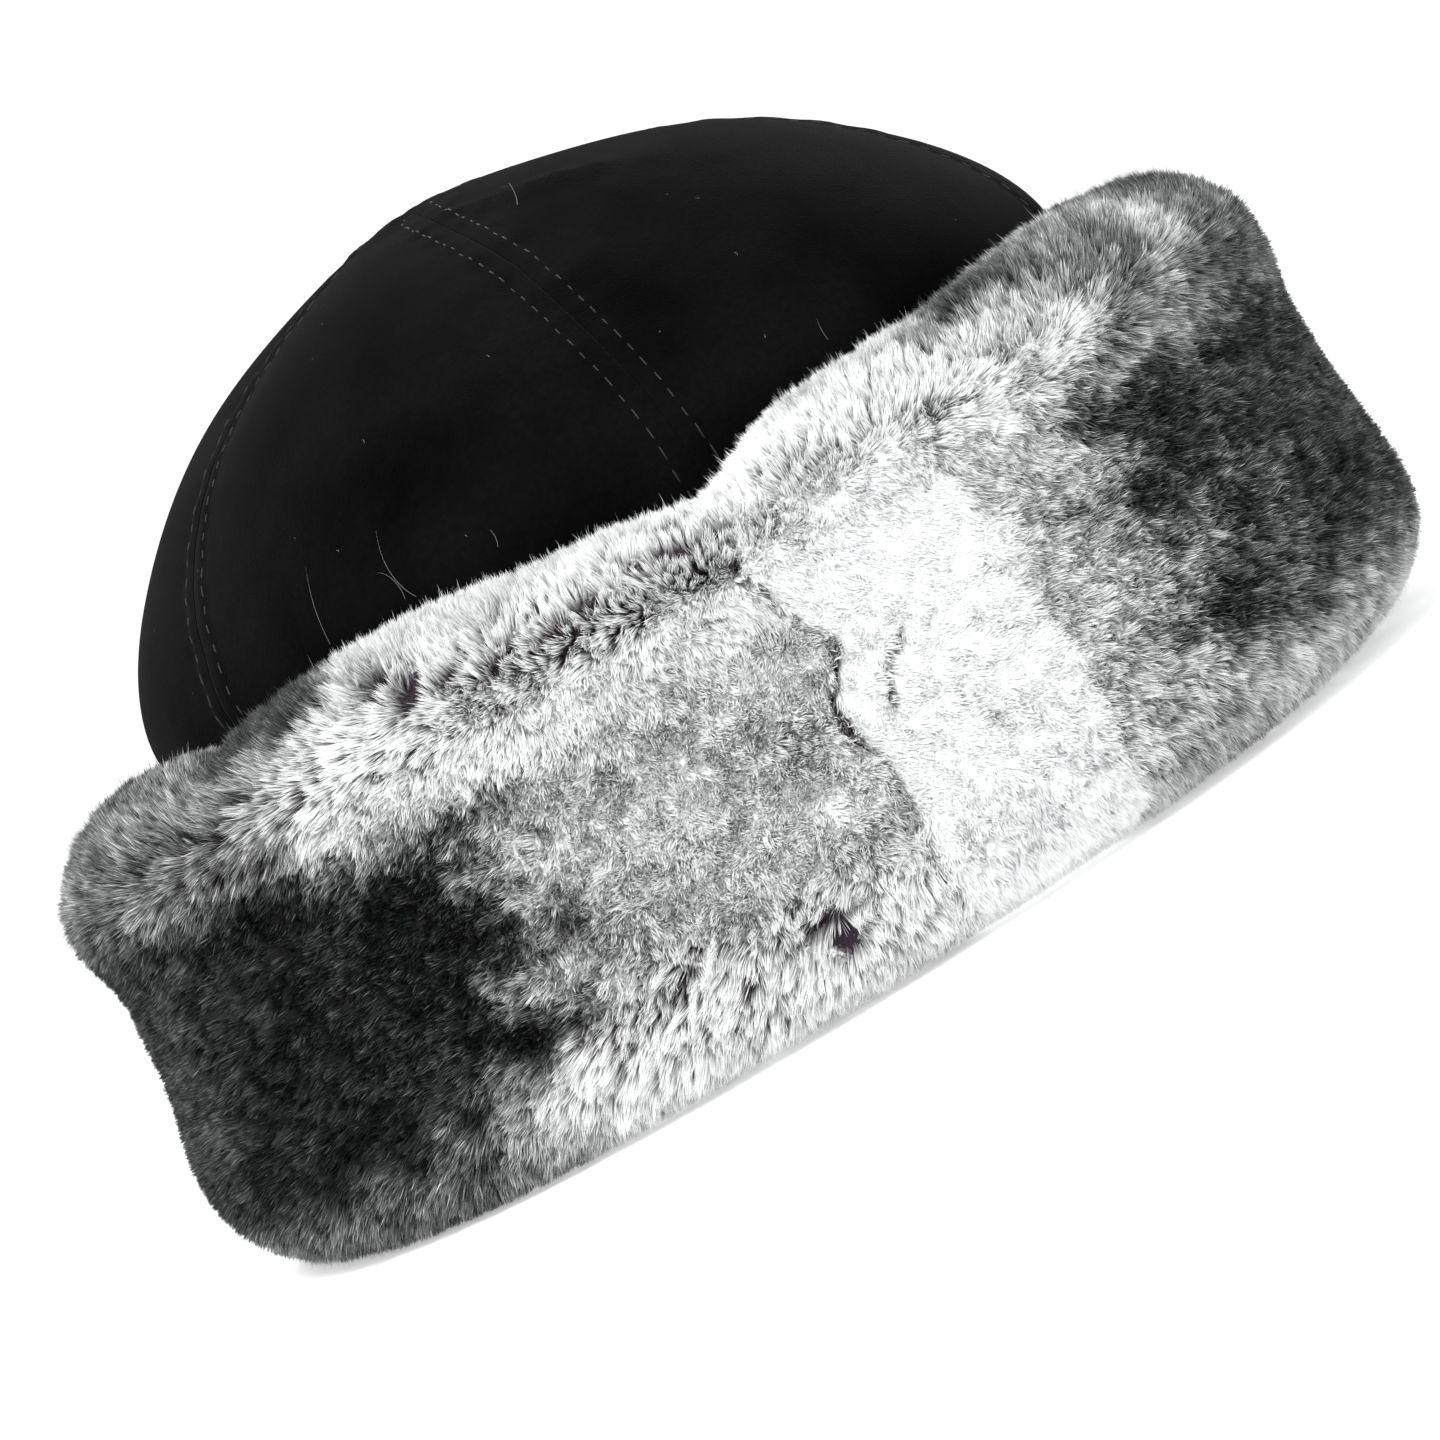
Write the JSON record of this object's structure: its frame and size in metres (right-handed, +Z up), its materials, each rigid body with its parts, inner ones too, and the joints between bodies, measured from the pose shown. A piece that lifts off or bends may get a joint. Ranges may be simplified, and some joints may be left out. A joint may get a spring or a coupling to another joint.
{
  "type": "fur toque",
  "caption": "Brimless winter hat: a domed suede crown of sewn gores with a deep rolled fur cuff round its lower half",
  "frame": {"origin": "on the surface that the hat rests on, under the middle of the hat", "axes": "+Z is up to the top of the crown, +Y is the front of the hat and its long way, -Y is the back, where the two pelts join, and +X is the wearer's right"},
  "size_m": [0.2334, 0.2696, 0.1443],
  "materials": {
    "suede": "black suede with a short soft nap, fully matt",
    "fur": "deep clipped fur with dark roots and grey, white and near-black areas"
  },
  "bodies": {
    "root": {"crown_gore_1": "suede", "crown_gore_2": "suede", "crown_gore_3": "suede", "crown_gore_4": "suede", "crown_gore_5": "suede", "crown_gore_6": "suede", "fur_pelt_right": "fur", "fur_pelt_left": "fur"}
  },
  "joints": []
}
